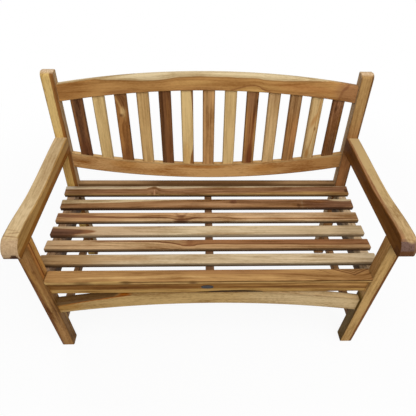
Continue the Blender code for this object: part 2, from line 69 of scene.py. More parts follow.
# Kinds of noise: cycles per metre along, across and through, own seed, detail and roughness
BEND_ACROSS = ((3.0, 9.0, 9.0), 0, 1.0, 0.5)
BEND_THROUGH = ((2.2, 7.0, 7.0), 11, 1.0, 0.5)
RING_DRIFT = ((1.3, 4.0, 4.0), 3, 1.0, 0.5)
BANDS = ((1.8, 95.0, 30.0), 5, 3.0, 0.62)
CLOUDS = ((6.0, 22.0, 22.0), 7, 2.0, 0.5)
STREAKS = ((7.0, 170.0, 170.0), 9, 2.0, 0.5)
FLECKS = ((70.0, 260.0, 260.0), 21, 2.0, 0.6)
PORES = ((45.0, 1250.0, 1250.0), 13, 1.0, 0.5)
END_MOTTLE = ((120.0, 160.0, 160.0), 23, 3.0, 0.7)
MARK_WOBBLE = ((14.0, 60.0, 60.0), 17, 2.0, 0.5)
PLATE_BRUSHED = ((60.0, 900.0, 1500.0), 3, 3.0, 0.5)
PLATE_DULL = ((90.0, 90.0, 130.0), 5, 2.0, 0.5)
# How far one seed moves a noise
SEED_STEP = (7.31, 3.17, 5.77)
# The mix node's sockets for colours
MIX_INPUTS = (0, 6, 7)
MIX_OUTPUT = 2

# Growth rings: width in metres and drift in rings. A dark line starts late in one and fades in the next
RING_WIDTH = 0.0042
DRIFT_RINGS = 1.2
LINE_FADES = 0.32
LINE_STARTS = 0.74
# How far noise bends the grain and the marks' edges, in metres
BEND_ACROSS_REACH = 0.012
BEND_THROUGH_REACH = 0.010
WOBBLE_REACH = 0.005
# How far a knot bends the grain: its reach along and across, in knot sizes, and its strength
KNOT_LENGTH = 2.6
KNOT_WIDTH = 1.5
KNOT_PULL = 0.8
# Shade of plain wood from light (0) to dark (1), and the noise at which a pore starts and is full
BASE_SHADE = 0.22
PORE_STARTS = (0.09, 0.22)
WOOD_SHINE = 0.08
# Bump: strength, and height in metres
WOOD_BUMP = (0.5, 0.0006)
PLATE_BUMP = (0.3, 0.0002)
# The rim of wear and painted shade fades between these metres from an edge. So does the painted shade
# on a seat slat's front edge, which also fades upwards between two places, in shares of half the slat's
# depth
RIM = (0.0015, 0.0060)
FRONT_RIM = (0.0002, 0.0014)
FRONT_SHADE_FADES = (-0.5, 0.7)
# The usual strength of the rim's darkening, partly wear and partly painted shade
USUAL_EASE = 0.45

# Where the pith lies from a board's middle, across and through it, and how the board leans from it
FLAT = (0.004, -0.030, 0.004, 0.014)
RIFT = (-0.050, -0.040, 0.010, 0.004)
QUARTER = (-0.090, -0.004, 0.006, 0.002)

# What makes up for the light on each kind of face, so that a tone shows as it is written
ON_TOP = (0.98, 0.995, 1.00)
ON_BACK = (1.07, 1.09, 1.08)
ON_FRONT = (1.10, 1.08, 1.00)

# How each kind of board lies: along, face, whether the face is taken from the board, and its light
KINDS = {
    "seat_slat": (X, Z, True, ON_TOP),
    "front_seat_slat": (X, Z, True, ON_TOP),
    "back_slat": (UP_BACK, -Y, True, ON_BACK),
    "crest_rail": (X, -Y, True, ON_BACK),
    "lower_back_rail": (X, -Y, True, ON_BACK),
    "front_seat_rail": (X, -Y, True, ON_FRONT),
    "rear_seat_rail": (X, -Y, True, ON_FRONT),
    "front_apron": (X, -Y, True, ON_FRONT),
    "front_leg": (Z, -Y, True, ON_FRONT),
    "rear_leg": (UP_BACK, -Y, True, ON_BACK),
    "arm": (Y, Z, False, ON_TOP),
    "side_rail": (Y, Z, False, ON_TOP),
    "centre_bearer": (Y, Z, False, ON_TOP),
    "side_stretcher": (Y, Z, False, ON_TOP),
}
# A polygon belongs to a board's face when it looks within this angle of it
NEAR_FACE = math.radians(20)

# The arched boards: half their length, and how far each one rises or sags
HALF_SPAN = 0.5517
CREST_RISE = 0.0445
LOWER_SAG = 0.0495
APRON_RISE = 0.0545

# What a board's look says when it leaves something out
USUAL = dict(
    spread=1.0, bow=0.0, flow=None, knots=(), pith=FLAT, bands=2.2, cloud=1.2, streak=1.5, lines=0.25,
    fleck=0.8, dark=DARK_WOOD, marks=(), end=None, end_from=(0.45, 0.92), end_contrast=2.2, end_marks=(),
    # front and front_top: strength of the painted shade down a seat slat's front edge, and its share at the
    # top of the face
    front=None, front_top=0.55,
)

# The bare oval plate on the front seat rail
PLATE_X = -0.010
PLATE_Z = 0.384
PLATE_HALF_WIDTH = 0.022
PLATE_HALF_HEIGHT = 0.0095
PLATE_THICKNESS = 0.0016
PLATE_STEPS = 48
# Its section from back rim to sunk field: share of the full oval, and height in thicknesses
PLATE_PROFILE = (
    (1.00, 0.0001), (1.00, -0.55), (0.97, -0.90), (0.93, -1.00), (0.87, -1.00), (0.84, -0.78),
)
PLATE_DARK = (0.17, 0.16, 0.17)
PLATE_LIGHT = (0.30, 0.29, 0.28)
SHARP_EDGE = math.radians(40)

# Floor: its tone for bounced light, its tone for the camera, and the glow that whitens it outwards
FLOOR_HALF_SIZE = 30.0
FLOOR_BOUNCE = (0.34, 0.34, 0.34, 1.0)
FLOOR_SEEN = (0.90, 0.90, 0.90, 1.0)
WHITE = (1.0, 1.0, 1.0, 1.0)
GLOW_NEAR = 0.90
GLOW_STARTS = 1.0
GLOW_ENDS = 2.4

# Lamps: the way to each one, its size in metres and its share of full light. All aim at one point
LAMPS = {
    "key": ((0.08, -0.55, 0.83), 3.0, 0.75),
    "side": ((0.85, -0.35, 0.45), 2.5, 0.20),
    "rear_fill": ((-0.5, 0.7, 0.5), 2.5, 0.20),
}
LAMP_DISTANCE = 3.6
LAMP_AIM = Vector((0.0, 0.0, 0.45))
WORLD_LIGHT = 0.32

# The photograph's camera: focal length and width in pixels, shifts, turns in degrees, and place
FOCAL_PX = 369.65
WIDTH_PX = 416
SENSOR_MM = 36.0
SHIFT_X = -0.00603
SHIFT_Y = 0.0100
TURN_RIGHT = 2.33
LOOK_DOWN = 43.34
ROLL = 1.44
CAMERA_PLACE = (-0.0361, -1.011255, 1.4531)


# Shader values

def linear(value):
    """Display value to the linear value that a shader takes, by the sRGB curve."""
    if value <= 0.04045:
        return value / 12.92
    return ((value + 0.055) / 1.055) ** 2.4


def colour(tone):
    return (*[linear(max(0.0, min(1.0, c))) for c in tone], 1.0)


def shifted(tone, shift, gain, spread):
    """The tone moved towards its light or dark wood."""
    return [t * (1.0 + (s - 1.0) * spread) * g for t, s, g in zip(tone, shift, gain)]


class Field:
    """A value that varies over a surface. Arithmetic on it adds the shader nodes that work it out."""

    def __init__(self, tree, socket):
        self.tree = tree
        self.socket = socket

    def math(self, operation, *others, clamp=False):
        node = self.tree.nodes.new("ShaderNodeMath")
        node.operation = operation
        node.use_clamp = clamp
        for slot, value in zip(node.inputs, (self, *others)):
            feed(self.tree, slot, value)
        return Field(self.tree, node.outputs[0])

    def __add__(self, other):
        return self.math("ADD", other)

    def __sub__(self, other):
        return self.math("SUBTRACT", other)

    def __mul__(self, other):
        return self.math("MULTIPLY", other)

    def __truediv__(self, other):
        return self.math("DIVIDE", other)

    def most(self, other):
        return self.math("MAXIMUM", other)

    def size(self):
        return self.math("ABSOLUTE")

    def squared(self):
        return self * self

    def clamped(self):
        return self.math("ADD", 0.0, clamp=True)

    def step(self, low, high, to_low=0.0, to_high=1.0):
        """Smooth change from to_low to to_high as the value goes from low to high."""
        node = self.tree.nodes.new("ShaderNodeMapRange")
        node.interpolation_type = "SMOOTHSTEP"
        feed(self.tree, node.inputs["Value"], self)
        node.inputs["From Min"].default_value = low
        node.inputs["From Max"].default_value = high
        node.inputs["To Min"].default_value = to_low
        node.inputs["To Max"].default_value = to_high
        return Field(self.tree, node.outputs["Result"])


def feed(tree, slot, value):
    if isinstance(value, Field):
        tree.links.new(value.socket, slot)
    else:
        slot.default_value = value


def joined(tree, *parts):
    node = tree.nodes.new("ShaderNodeCombineXYZ")
    for slot, part in zip(node.inputs, parts):
        feed(tree, slot, part)
    return Field(tree, node.outputs[0])


def along_axis(tree, vector, axis):
    """How far a vector reaches along an axis."""
    node = tree.nodes.new("ShaderNodeVectorMath")
    node.operation = "DOT_PRODUCT"
    tree.links.new(vector, node.inputs[0])
    node.inputs[1].default_value = axis
    return Field(tree, node.outputs["Value"])


def mixed(tree, share, first, second):
    """Colour that goes from first to second as share goes from 0 to 1."""
    node = tree.nodes.new("ShaderNodeMix")
    node.data_type = "RGBA"
    for k, value in zip(MIX_INPUTS, (share, first, second)):
        feed(tree, node.inputs[k], value)
    return Field(tree, node.outputs[MIX_OUTPUT])


def noise(tree, point, kind, seed=0):
    """Noise about 0, of one of the kinds above."""
    scale, own_seed, detail, roughness = kind
    place = tree.nodes.new("ShaderNodeMapping")
    feed(tree, place.inputs["Vector"], point)
    place.inputs["Location"].default_value = [(seed + own_seed) * step for step in SEED_STEP]
    place.inputs["Scale"].default_value = scale
    node = tree.nodes.new("ShaderNodeTexNoise")
    node.inputs["Scale"].default_value = 1.0
    node.inputs["Detail"].default_value = detail
    node.inputs["Roughness"].default_value = roughness
    tree.links.new(place.outputs[0], node.inputs["Vector"])
    return Field(tree, node.outputs["Fac"]) - 0.5


def new_material(name):
    material = bpy.data.materials.new(name)
    material.use_nodes = True
    tree = material.node_tree
    return material, tree, tree.nodes["Principled BSDF"]


def add_bump(tree, shader, height, strength, distance):
    bump = tree.nodes.new("ShaderNodeBump")
    bump.inputs["Strength"].default_value = strength
    bump.inputs["Distance"].default_value = distance
    tree.links.new(height.socket, bump.inputs["Height"])
    tree.links.new(bump.outputs["Normal"], shader.inputs["Normal"])


# Places on a board

def main_normal(mesh, face):
    """The way that most of the surface near a face looks."""
    sums = {}
    for polygon in mesh.polygons:
        if polygon.normal.dot(face) > math.cos(NEAR_FACE):
            key = tuple(round(c, 2) for c in polygon.normal)
            sums[key] = sums.get(key, Vector((0, 0, 0))) + polygon.normal * polygon.area
    return max(sums.values(), key=lambda s: s.length).normalized()


def board_axes(node, along, face, refine):
    """Unit vectors along, across and out of a board's face, its middle, and half its sizes."""
    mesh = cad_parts[node].data
    if refine:
        face = main_normal(mesh, face)
    along = (along - face * along.dot(face)).normalized()
    across = face.cross(along)
    if across.x + across.y + across.z < 0:
        across = -across
    places = [(v.co.dot(along), v.co.dot(across), v.co.dot(face)) for v in mesh.vertices]
    low = [min(p[k] for p in places) for k in range(3)]
    high = [max(p[k] for p in places) for k in range(3)]
    middle = [(a + b) / 2 for a, b in zip(low, high)]
    half = [(b - a) / 2 for a, b in zip(low, high)]
    return (along, across, face), middle, half


def local_point(tree, axes, middle):
    """Place on the board in metres: along it, across it and through it, from its middle."""
    place = tree.nodes.new("ShaderNodeTexCoord").outputs["Object"]
    return [along_axis(tree, place, axis) - centre for axis, centre in zip(axes, middle)]


def contour(u, points):
    """Height in metres of a smooth line through points in millimetres, at each place along a board."""
    if isinstance(points, (int, float)):
        return points * MM
    first, last = points[0][0], points[-1][0]
    low = min(p[1] for p in points)
    rise = max(max(p[1] for p in points) - low, 1.0)
    node = u.tree.nodes.new("ShaderNodeFloatCurve")
    curve = node.mapping.curves[0]
    places = [((p[0] - first) / (last - first), (p[1] - low) / rise) for p in points]
    curve.points[0].location = places[0]
    curve.points[-1].location = places[-1]
    for place in places[1:-1]:
        curve.points.new(*place)
    node.mapping.extend = "HORIZONTAL"
    node.mapping.update()
    feed(u.tree, node.inputs["Value"], (u - first * MM) / ((last - first) * MM))
    return Field(u.tree, node.outputs[0]) * (rise * MM) + low * MM


def raised(points, rise):
    """The same line, a few millimetres up or down the board."""
    return [(u, v + rise) for u, v in points]


# Marks on a board: places in millimetres along and across it, from its middle

def spot(u, v, reach_u, reach_v, tone, share=1.0, slope=0.0, lean=0.0, bend=0.0, soft=1.2, depth=None):
    """An oval patch of other wood. share is its strength, and depth is as in a band."""
    return dict(
        at=(u, v), reach=(reach_u, reach_v), tone=tone, slope=slope, lean=lean, bend=bend,
        soft=soft, share=share, depth=depth,
    )


def band(low, high, tone, soft=3.0, share=1.0, ends=None, depth=None):
    """Other wood between two lines along the board. None is the board's edge.

    ends and depth keep it to a part of the board's length and depth: from, to and fade.
    """
    return dict(low=low, high=high, tone=tone, soft=soft, share=share, ends=ends, depth=depth)


def limited(share, value, first, last, fade):
    """The share, kept between two places with a fade at each."""
    share = share * value.step((first - fade) * MM, (first + fade) * MM)
    return share * value.step((last - fade) * MM, (last + fade) * MM, 1.0, 0.0)


def spot_share(u, v, mark):
    du = u - mark["at"][0] * MM
    dv = v - mark["at"][1] * MM
    if mark["slope"]:
        dv = dv - du * mark["slope"]
    if mark["lean"]:
        du = du - dv * mark["lean"]
    du = du / (mark["reach"][0] * MM)
    dv = dv / (mark["reach"][1] * MM)
    if mark["bend"]:
        dv = dv - du.squared() * mark["bend"]
    far = (du.squared() + dv.squared()).math("SQRT")
    return far.step(1.0 - mark["soft"] / 2, 1.0 + mark["soft"] / 2, mark["share"], 0.0)


def band_share(u, v, mark):
    share = None
    half = mark["soft"] / 2 * MM
    if mark["low"] is not None:
        share = (v - contour(u, mark["low"])).step(-half, half)
    if mark["high"] is not None:
        above = (v - contour(u, mark["high"])).step(-half, half, 1.0, 0.0)
        share = above if share is None else share * above
    if mark["ends"]:
        share = limited(share, u, *mark["ends"])
    return share * mark["share"]


def mark_share(u, v, w, mark):
    """1 inside a mark and 0 outside it, with a soft edge."""
    share = spot_share(u, v, mark) if "at" in mark else band_share(u, v, mark)
    if mark["depth"]:
        share = limited(share, w, *mark["depth"])
    return share


# Teak

class Teak:
    """One board's wood while its shader is put together. The steps run in the order written here."""

    def __init__(self, tree, seed, lie, gain, look):
        self.tree = tree
        self.seed = seed
        self.axes, middle, self.half = lie
        self.gain = gain
        self.look = {**USUAL, **look}
        self.u, self.v, self.w = local_point(tree, self.axes, middle)
        self.point = joined(tree, self.u, self.v, self.w)
        self.edge_v = self.v
        if self.look["bow"]:
            self.edge_v = self.v + self.u.squared() * self.look["bow"] - self.look["bow_shift"]

    def noise(self, point, kind):
        return noise(self.tree, point, kind, self.seed)

    def bend_grain(self):
        """The grain's own places across and through the board, bent by noise, arch and knots."""
        u, v = self.u, self.v
        grain = v + self.noise(self.point, BEND_ACROSS) * BEND_ACROSS_REACH
        self.w_grain = self.w + self.noise(self.point, BEND_THROUGH) * BEND_THROUGH_REACH
        if self.look["bow"]:
            grain = grain + u.squared() * (self.look["bow"] * 0.5)
        if self.look["flow"]:
            grain = grain - contour(u, self.look["flow"])
        for knot_u, knot_v, reach in self.look["knots"]:
            du = (u - knot_u * MM) / (reach * MM * KNOT_LENGTH)
            dv = (v - knot_v * MM) / (reach * MM * KNOT_WIDTH)
            bulge = (du.squared() + dv.squared() + 1.0).squared()
            grain = grain - (v - knot_v * MM) / bulge * KNOT_PULL
        self.v_grain = grain

    def cut_rings(self):
        """Distance from the pith, and the dark line of each ring, each of its own strength."""
        pith_v, pith_w, lean_v, lean_w = self.look["pith"]
        ring_v = self.v_grain - pith_v - self.u * lean_v
        ring_w = self.w_grain - pith_w - self.u * lean_w
        self.radius = (ring_v.squared() + ring_w.squared()).math("SQRT")
        rings = self.radius / RING_WIDTH + self.noise(self.point, RING_DRIFT) * DRIFT_RINGS
        phase = rings.math("FRACT")
        line = phase.step(0.0, LINE_FADES, 1.0, 0.0).most(phase.step(LINE_STARTS, 1.0))
        dice = self.tree.nodes.new("ShaderNodeTexWhiteNoise")
        dice.noise_dimensions = "1D"
        feed(self.tree, dice.inputs["W"], (rings + 0.13).math("FLOOR") + self.seed * 17.0)
        self.line = line * (Field(self.tree, dice.outputs["Value"]) * 0.8 + 0.2)

    def weigh_shade(self):
        """How dark the wood is at each place, from 0 to 1."""
        look = self.look
        ringwise = joined(self.tree, self.u, self.radius, self.w_grain * 0.25)
        bands = self.noise(ringwise, BANDS)
        grain = joined(self.tree, self.u, self.v_grain, self.w_grain)
        self.cloud = self.noise(self.point, CLOUDS)
        self.streak = self.noise(grain, STREAKS)
        fleck = self.noise(grain, FLECKS)
        self.pores = self.noise(grain, PORES).step(*PORE_STARTS)
        shade = bands * look["bands"] + self.cloud * look["cloud"]
        shade = shade + self.streak * look["streak"] + self.line * look["lines"]
        shade = shade + fleck * look["fleck"]
        self.shade = (shade + self.pores * 0.12 + BASE_SHADE).clamped()

    def woods(self, tone, shade, darken):
        spread = self.look["spread"]
        light, dark = (colour(shifted(tone, shift, self.gain, spread)) for shift in (LIGHT_WOOD, darken))
        return mixed(self.tree, shade, light, dark)

    def lay_marks(self, colours, marks):
        for mark in marks:
            own = self.woods(mark["tone"], self.shade, self.look["dark"])
            colours = mixed(self.tree, mark_share(self.u, self.rough_v, self.w, mark), colours, own)
        return colours

    def lay_end_grain(self, colours):
        """Mottled end grain where the surface looks along the board."""
        normal = self.tree.nodes.new("ShaderNodeTexCoord").outputs["Normal"]
        facing = along_axis(self.tree, normal, self.axes[0]).size().step(*self.look["end_from"])
        mottle = self.noise(self.point, END_MOTTLE)
        mottle = (mottle * self.look["end_contrast"] + self.line * 0.2 + 0.30).clamped()
        return mixed(self.tree, facing, colours, self.woods(self.look["end"], mottle, DARK_WOOD))

    def paint_edge_wear_and_shade(self, colours):
        """Darker along the long edges, from wear and painted shade on the rounding, and painted shade down
        the front edge of a seat slat.
        """
        look = self.look
        half_v = look.get("half_v", self.half[1])
        half_w = self.half[2]
        rim_v = self.edge_v.size() * -1.0 + half_v
        rim_w = self.w.size() * -1.0 + half_w
        # The rim along the long edges: partly wear, partly painted shade of the rounding
        ease = (rim_v.most(0.0) + rim_w.most(0.0)).step(*RIM, 1.0, 0.0)
        wear_and_shade = ease * look.get("ease", 0.0 if look["front"] else USUAL_EASE)
        # Painted shade down a seat slat's front edge, fading towards the top of the face
        if look["front"]:
            low, high = (half_w * share for share in FRONT_SHADE_FADES)
            below = self.w.step(low, high, 1.0, look["front_top"])
            front = (self.edge_v + half_v).step(*FRONT_RIM, 1.0, 0.0)
            wear_and_shade = wear_and_shade.most(front * below * look["front"])
        # Seat slats take the dark of their painted front-edge shade, other boards the rim's dark
        edge = look.get("edge", SHADE if look["front"] else EDGE)
        return mixed(self.tree, wear_and_shade, colours, colour(edge))

    def base_colours(self):
        colours = self.woods(self.look["tone"], self.shade, self.look["dark"])
        self.rough_v = self.edge_v + self.noise(self.point, MARK_WOBBLE) * WOBBLE_REACH
        colours = self.lay_marks(colours, self.look["marks"])
        if self.look["end"]:
            colours = self.lay_end_grain(colours)
        colours = self.lay_marks(colours, self.look["end_marks"])
        return self.paint_edge_wear_and_shade(colours)


def teak(name, seed, lie, gain, look):
    """A board's own teak: growth rings cut at its own slant, bands, pores, marks, and edges darkened by
    wear and painted shade.
    """
    material, tree, shader = new_material(name + "_grain")
    wood = Teak(tree, seed, lie, gain, look)
    wood.bend_grain()
    wood.cut_rings()
    wood.weigh_shade()
    tree.links.new(wood.base_colours().socket, shader.inputs["Base Color"])
    gloss = wood.shade * 0.12 + wood.cloud * 0.20 + wood.pores * 0.10 + 0.55
    tree.links.new(gloss.socket, shader.inputs["Roughness"])
    shader.inputs["Specular IOR Level"].default_value = WOOD_SHINE
    height = wood.pores * -0.6 + wood.streak * -0.5 + wood.line * -0.25 + wood.cloud * 0.3
    add_bump(tree, shader, height, *WOOD_BUMP)
    return material


def curved(rise, turn, height):
    """Look values of an arched board: turn is 1 for a crown and -1 for a sag."""
    return dict(bow=turn * rise / HALF_SPAN**2, bow_shift=turn * rise / 2, half_v=height / 2)


# Growth lines and sapwood edges
SAP_1 = [(-600, 6), (-350, 7), (-260, 10), (-228, 17), (-190, 9), (0, 12), (300, 16), (600, 21)]
SAP_2 = [(-600, 0), (-500, 2), (-400, 5), (-300, 9), (-200, 15), (-100, 18), (0, 21), (100, 25)]
GOLD_1 = [(-600, -19), (0, -19), (200, -15), (450, -10), (600, -13)]
LINE_3 = [
    (-600, 4), (-400, -3), (-180, -4), (-140, -10), (-110, -14), (-75, -12), (-40, -6), (20, -4),
    (100, -9), (200, -11), (400, -12), (600, -10),
]
LINE_3_TOP = [(-600, 16), (-480, 10), (-380, 2), (-180, -1), (-110, -12), (-40, -1), (100, -5), (600, -6)]
LINE_5 = [
    (-600, 22), (-410, 20), (-250, 17), (-170, 12), (-110, 0), (-75, -7), (-45, 0), (20, 4),
    (100, 2), (300, 0), (600, -2),
]
SAP_CREST = [
    (-410, 30), (-334, 20.5), (-274, 14.5), (-210, 9.5), (-160, 12), (-100, 18), (-14, 19), (75, 18),
    (130, 17), (166, 18), (206, 15), (256, 16), (326, 21), (386, 26.5), (440, 32),
]
V_LINE = [(405, 26), (430, 17), (470, 3), (484, -2), (491, -6), (498, -2), (510, 3), (535, 14), (555, 22)]
PEAK = [(70, -32), (95, -22), (130, -10), (150, -6), (172, -5), (195, -14), (220, -24), (240, -32)]
APRON_LINE = [(-550, 8), (-500, 14), (-440, 21), (-314, 33), (-250, 38)]

# How each board looks. Its marks lie over one another in this order
LOOKS = {}
# The posts: dark along the inner edge, pale on the inner side
LOOKS["rear_leg_left"] = dict(
    tone=(0.735, 0.585, 0.33), spread=0.9, pith=RIFT, bands=1.8, fleck=1.2, end=(0.77, 0.655, 0.53),
    ease=0.35,
    marks=[
        spot(330, -4, 130, 30, (0.74, 0.615, 0.40), 0.9),
        spot(60, -4, 60, 30, (0.70, 0.54, 0.32), 0.6),
        band([(-300, 10), (0, 9), (200, 10), (500, 9)], None, (0.48, 0.285, 0.115), soft=2.5, share=0.9),
        band([(-300, 17), (0, 16), (500, 15)], None, (0.40, 0.25, 0.13), soft=5, share=0.5),
        band(23, None, (0.63, 0.51, 0.37), soft=1, share=0.9),
    ],
)
LOOKS["rear_leg_right"] = dict(
    tone=(0.57, 0.395, 0.235), spread=0.8, pith=RIFT, bands=1.2, lines=0.1, streak=1.2, fleck=1.2,
    end=(0.77, 0.65, 0.52), ease=0.5,
    marks=[
        spot(370, -6, 140, 30, (0.615, 0.47, 0.29)),
        spot(-10, 0, 150, 40, (0.585, 0.385, 0.225), 0.8),
        spot(20, 12, 50, 8, (0.47, 0.31, 0.18), 0.7),
        # Painted shade along the rounded outer edge of the front face
        band([(-300, 16), (200, 16), (500, 17)], 22, (0.38, 0.25, 0.13), soft=2.5, share=0.85),
        band(None, -22.5, (0.63, 0.515, 0.39), soft=1, share=0.9),
    ],
)
# The front legs: the bands past 22 mm are the inner side, above and below the seat. Low on the inner side
# it is darker, partly dark wood and partly painted shade under the apron
LOOKS["front_leg_left"] = dict(
    tone=(0.53, 0.385, 0.22), bands=3.0, cloud=2.4, fleck=1.4, end=TAN, dark=(0.72, 0.61, 0.46),
    marks=[
        band(-21.5, [(-300, -14), (0, -10), (100, -11), (250, -17)], (0.41, 0.26, 0.14), soft=5,
             share=0.9),
        spot(190, -4, 110, 16, (0.59, 0.43, 0.245), 0.7),
        spot(150, 9, 90, 8, (0.46, 0.31, 0.165), 0.65),
        spot(0, 1, 120, 4, (0.62, 0.48, 0.30), 0.6),
        spot(-200, 6, 100, 13, TAN, 0.45),
        spot(-70, 2, 90, 4, (0.66, 0.525, 0.36), 0.55),
        spot(-90, 13, 110, 5, (0.43, 0.305, 0.19), 0.5),
        spot(240, 2, 60, 10, TAN, 0.4),
        band(22, None, (0.63, 0.475, 0.27), soft=1.5, ends=(125, 500, 4)),
        band(22, None, (0.57, 0.39, 0.21), soft=1.5, ends=(125, 500, 4), depth=(9, 40, 2)),
        band(22, None, (0.42, 0.235, 0.085), soft=1.5, ends=(125, 500, 4), depth=(3, 9, 1.5)),
        # Low on the inner side, under the apron: dark wood and painted shade
        band(22, None, (0.45, 0.325, 0.18), soft=1.5, ends=(-500, 0, 20)),
        band(22, None, (0.60, 0.47, 0.28), soft=1.5, ends=(-280, -120, 30), depth=(-40, -8, 3),
             share=0.8),
    ],
)
LOOKS["front_leg_right"] = dict(
    tone=(0.69, 0.56, 0.375), spread=0.8, pith=RIFT, bands=1.4, lines=0.1, fleck=1.4, end=TAN,
    marks=[
        spot(120, -6, 120, 14, (0.70, 0.57, 0.38), 0.6),
        band([(-320, 13), (-8, 12), (150, 14), (260, 16)], 22, (0.42, 0.25, 0.10), soft=2.5, share=0.95),
        band(None, -22, (0.62, 0.48, 0.31), soft=1.5, ends=(125, 500, 4)),
        band(None, -22, (0.72, 0.57, 0.36), soft=1.5, ends=(125, 500, 4), depth=(17, 40, 2), share=0.8),
        # Low on the inner side, under the apron: dark wood and painted shade
        band(None, -22, (0.385, 0.30, 0.125), soft=1.5, ends=(-500, 0, 20)),
    ],
)
# The arms: the end marks are what shows on the noses
LOOKS["arm_left"] = dict(
    tone=(0.785, 0.665, 0.485), spread=0.7, bands=2.0, streak=1.2, fleck=1.0, ease=0.4,
    end=(0.745, 0.62, 0.475), end_contrast=1.6, end_from=(0.06, 0.40),
    marks=[
        spot(120, 0, 160, 30, (0.78, 0.665, 0.50), 0.6),
        spot(-170, -2, 80, 30, (0.80, 0.685, 0.515), 0.8),
        spot(-252, -4, 2.6, 30, (0.60, 0.45, 0.30), 0.8, lean=-0.14, soft=1.6, depth=(12, 60, 5)),
        spot(-238, 6, 2.6, 20, (0.62, 0.47, 0.31), 0.7, lean=0.16, soft=1.6, depth=(12, 60, 5)),
        spot(-226, -10, 2.4, 14, (0.64, 0.49, 0.33), 0.6, lean=-0.2, soft=1.6, depth=(12, 60, 5)),
        band(19, None, (0.68, 0.52, 0.295), soft=4, ends=(-500, 500, 4)),
        band(20, None, (0.55, 0.345, 0.11), soft=2, depth=(-40, -7, 2.5), share=0.9),
    ],
    end_marks=[
        band(-100, 20, (0.50, 0.36, 0.19), soft=2, ends=(-400, -276, 3), depth=(-40, -17, 3), share=0.85),
        band(-4, 20, (0.33, 0.19, 0.075), ends=(-400, -268, 3), depth=(-40, -13, 2), share=0.9),
        band(1, 17, (0.24, 0.125, 0.045), ends=(-400, -268, 3), depth=(-40, -8, 2), share=0.9),
    ],
)
LOOKS["arm_right"] = dict(
    tone=(0.715, 0.59, 0.40), spread=0.8, bands=2.0, streak=1.4, fleck=1.3,
    end=(0.43, 0.325, 0.28), end_contrast=3.0, end_from=(0.36, 0.62),
    marks=[
        band(None, [(-300, -6), (-220, -8), (0, -9), (100, -12), (250, -13)], (0.57, 0.385, 0.25),
             soft=4, share=0.9),
        spot(-190, 6, 90, 20, (0.76, 0.635, 0.455), 0.8),
        band(None, -20.5, (0.45, 0.28, 0.10)),
        band(None, -20.5, (0.39, 0.23, 0.07), depth=(-6, 30, 8), share=0.6),
        band(None, -20.5, (0.52, 0.335, 0.14), depth=(-40, -14, 5), share=0.6),
    ],
    end_marks=[
        spot(-262, 9, 15, 17, (0.70, 0.575, 0.40), soft=0.6),
        band(-100, None, (0.37, 0.22, 0.09), soft=2, ends=(-400, -262, 3), depth=(-40, -2, 4), share=0.9),
        band(16, None, (0.55, 0.41, 0.30), soft=5, ends=(-400, -268, 3), depth=(-16, 40, 4), share=0.5),
    ],
)
# Sapwood along the arch, a peak right of the middle, a dark right end
LOOKS["crest_rail"] = dict(
    tone=(0.645, 0.47, 0.275), spread=0.8, bands=2.0, streak=1.2, cloud=1.6, ease=0.15,
    dark=(0.78, 0.68, 0.52),
    flow=[(-550, 10), (-300, 8), (-195, -2), (-95, 5), (75, 5), (165, 8), (225, 0), (400, 8), (550, 12)],
    marks=[
        spot(-530, 0, 90, 50, (0.61, 0.425, 0.235), 0.8),
        band(raised(SAP_CREST, -4), SAP_CREST, BROWN, share=0.5, ends=(-400, 430, 30)),
        band(SAP_CREST, None, (0.715, 0.615, 0.465), soft=2),
        band(raised(SAP_CREST, 8), None, (0.755, 0.665, 0.525), share=0.8, ends=(-330, 380, 40)),
        spot(-60, -3, 70, 8, GOLD, 0.5),
        spot(240, -8, 60, 8, GOLD, 0.4),
        spot(360, -2, 110, 14, (0.68, 0.475, 0.28), 0.7),
        band(None, raised(PEAK, -6), GOLD, soft=5, share=0.5, ends=(80, 235, 6)),
        band(raised(PEAK, -6), PEAK, RUSSET, soft=4, share=0.6, ends=(80, 235, 6)),
        spot(525, 4, 50, 50, (0.54, 0.37, 0.235), 0.85, soft=1.0),
        spot(505, 16, 7, 16, (0.46, 0.29, 0.18), 0.8, lean=0.7, soft=1.0),
        spot(492, -12, 5, 16, (0.49, 0.32, 0.19), 0.7, lean=0.3, soft=1.0),
        spot(-330, -24, 60, 10, RUSSET, 0.6),
        spot(-20, -28, 90, 10, RUSSET, 0.4),
        spot(380, -26, 90, 8, RUSSET, 0.4),
    ],
    **curved(CREST_RISE, 1, 0.064),
)
LOOKS["lower_back_rail"] = dict(
    tone=(0.675, 0.51, 0.325), bands=1.0, cloud=2.4, fleck=1.6, streak=1.0, dark=(0.84, 0.70, 0.48),
    marks=[
        spot(-400, 0, 130, 40, (0.64, 0.485, 0.315), 0.7),
        spot(-340, 12, 55, 18, AMBER, 0.8),
        spot(-30, 22, 110, 9, (0.57, 0.37, 0.17), 0.8, soft=1.0),
        spot(235, 6, 60, 16, (0.61, 0.42, 0.22), 0.9),
        spot(430, 0, 160, 40, (0.555, 0.38, 0.205), 0.75),
        spot(-530, 10, 50, 12, BROWN, 0.3, soft=1.0),
        band(27, None, STRAW, share=0.5),
    ],
    **curved(LOWER_SAG, -1, 0.0625),
)
LOOKS["back_slat_01"] = dict(
    tone=(0.385, 0.25, 0.16), spread=1.3, bands=3.2, streak=2.4, fleck=1.6, dark=(0.70, 0.62, 0.54),
    marks=[
        band([(-160, -4), (0, -8), (150, -8)], [(-160, 10), (0, 2), (150, 4)], (0.27, 0.17, 0.105),
             soft=7, share=0.7),
        band(-22, -14, (0.47, 0.31, 0.17), soft=6, share=0.7),
        spot(20, 17, 90, 6, (0.45, 0.30, 0.18), 0.6),
        spot(-100, 6, 50, 30, (0.32, 0.175, 0.09), 0.6),
    ],
)
LOOKS["back_slat_02"] = dict(tone=(0.76, 0.635, 0.435), spread=0.6)
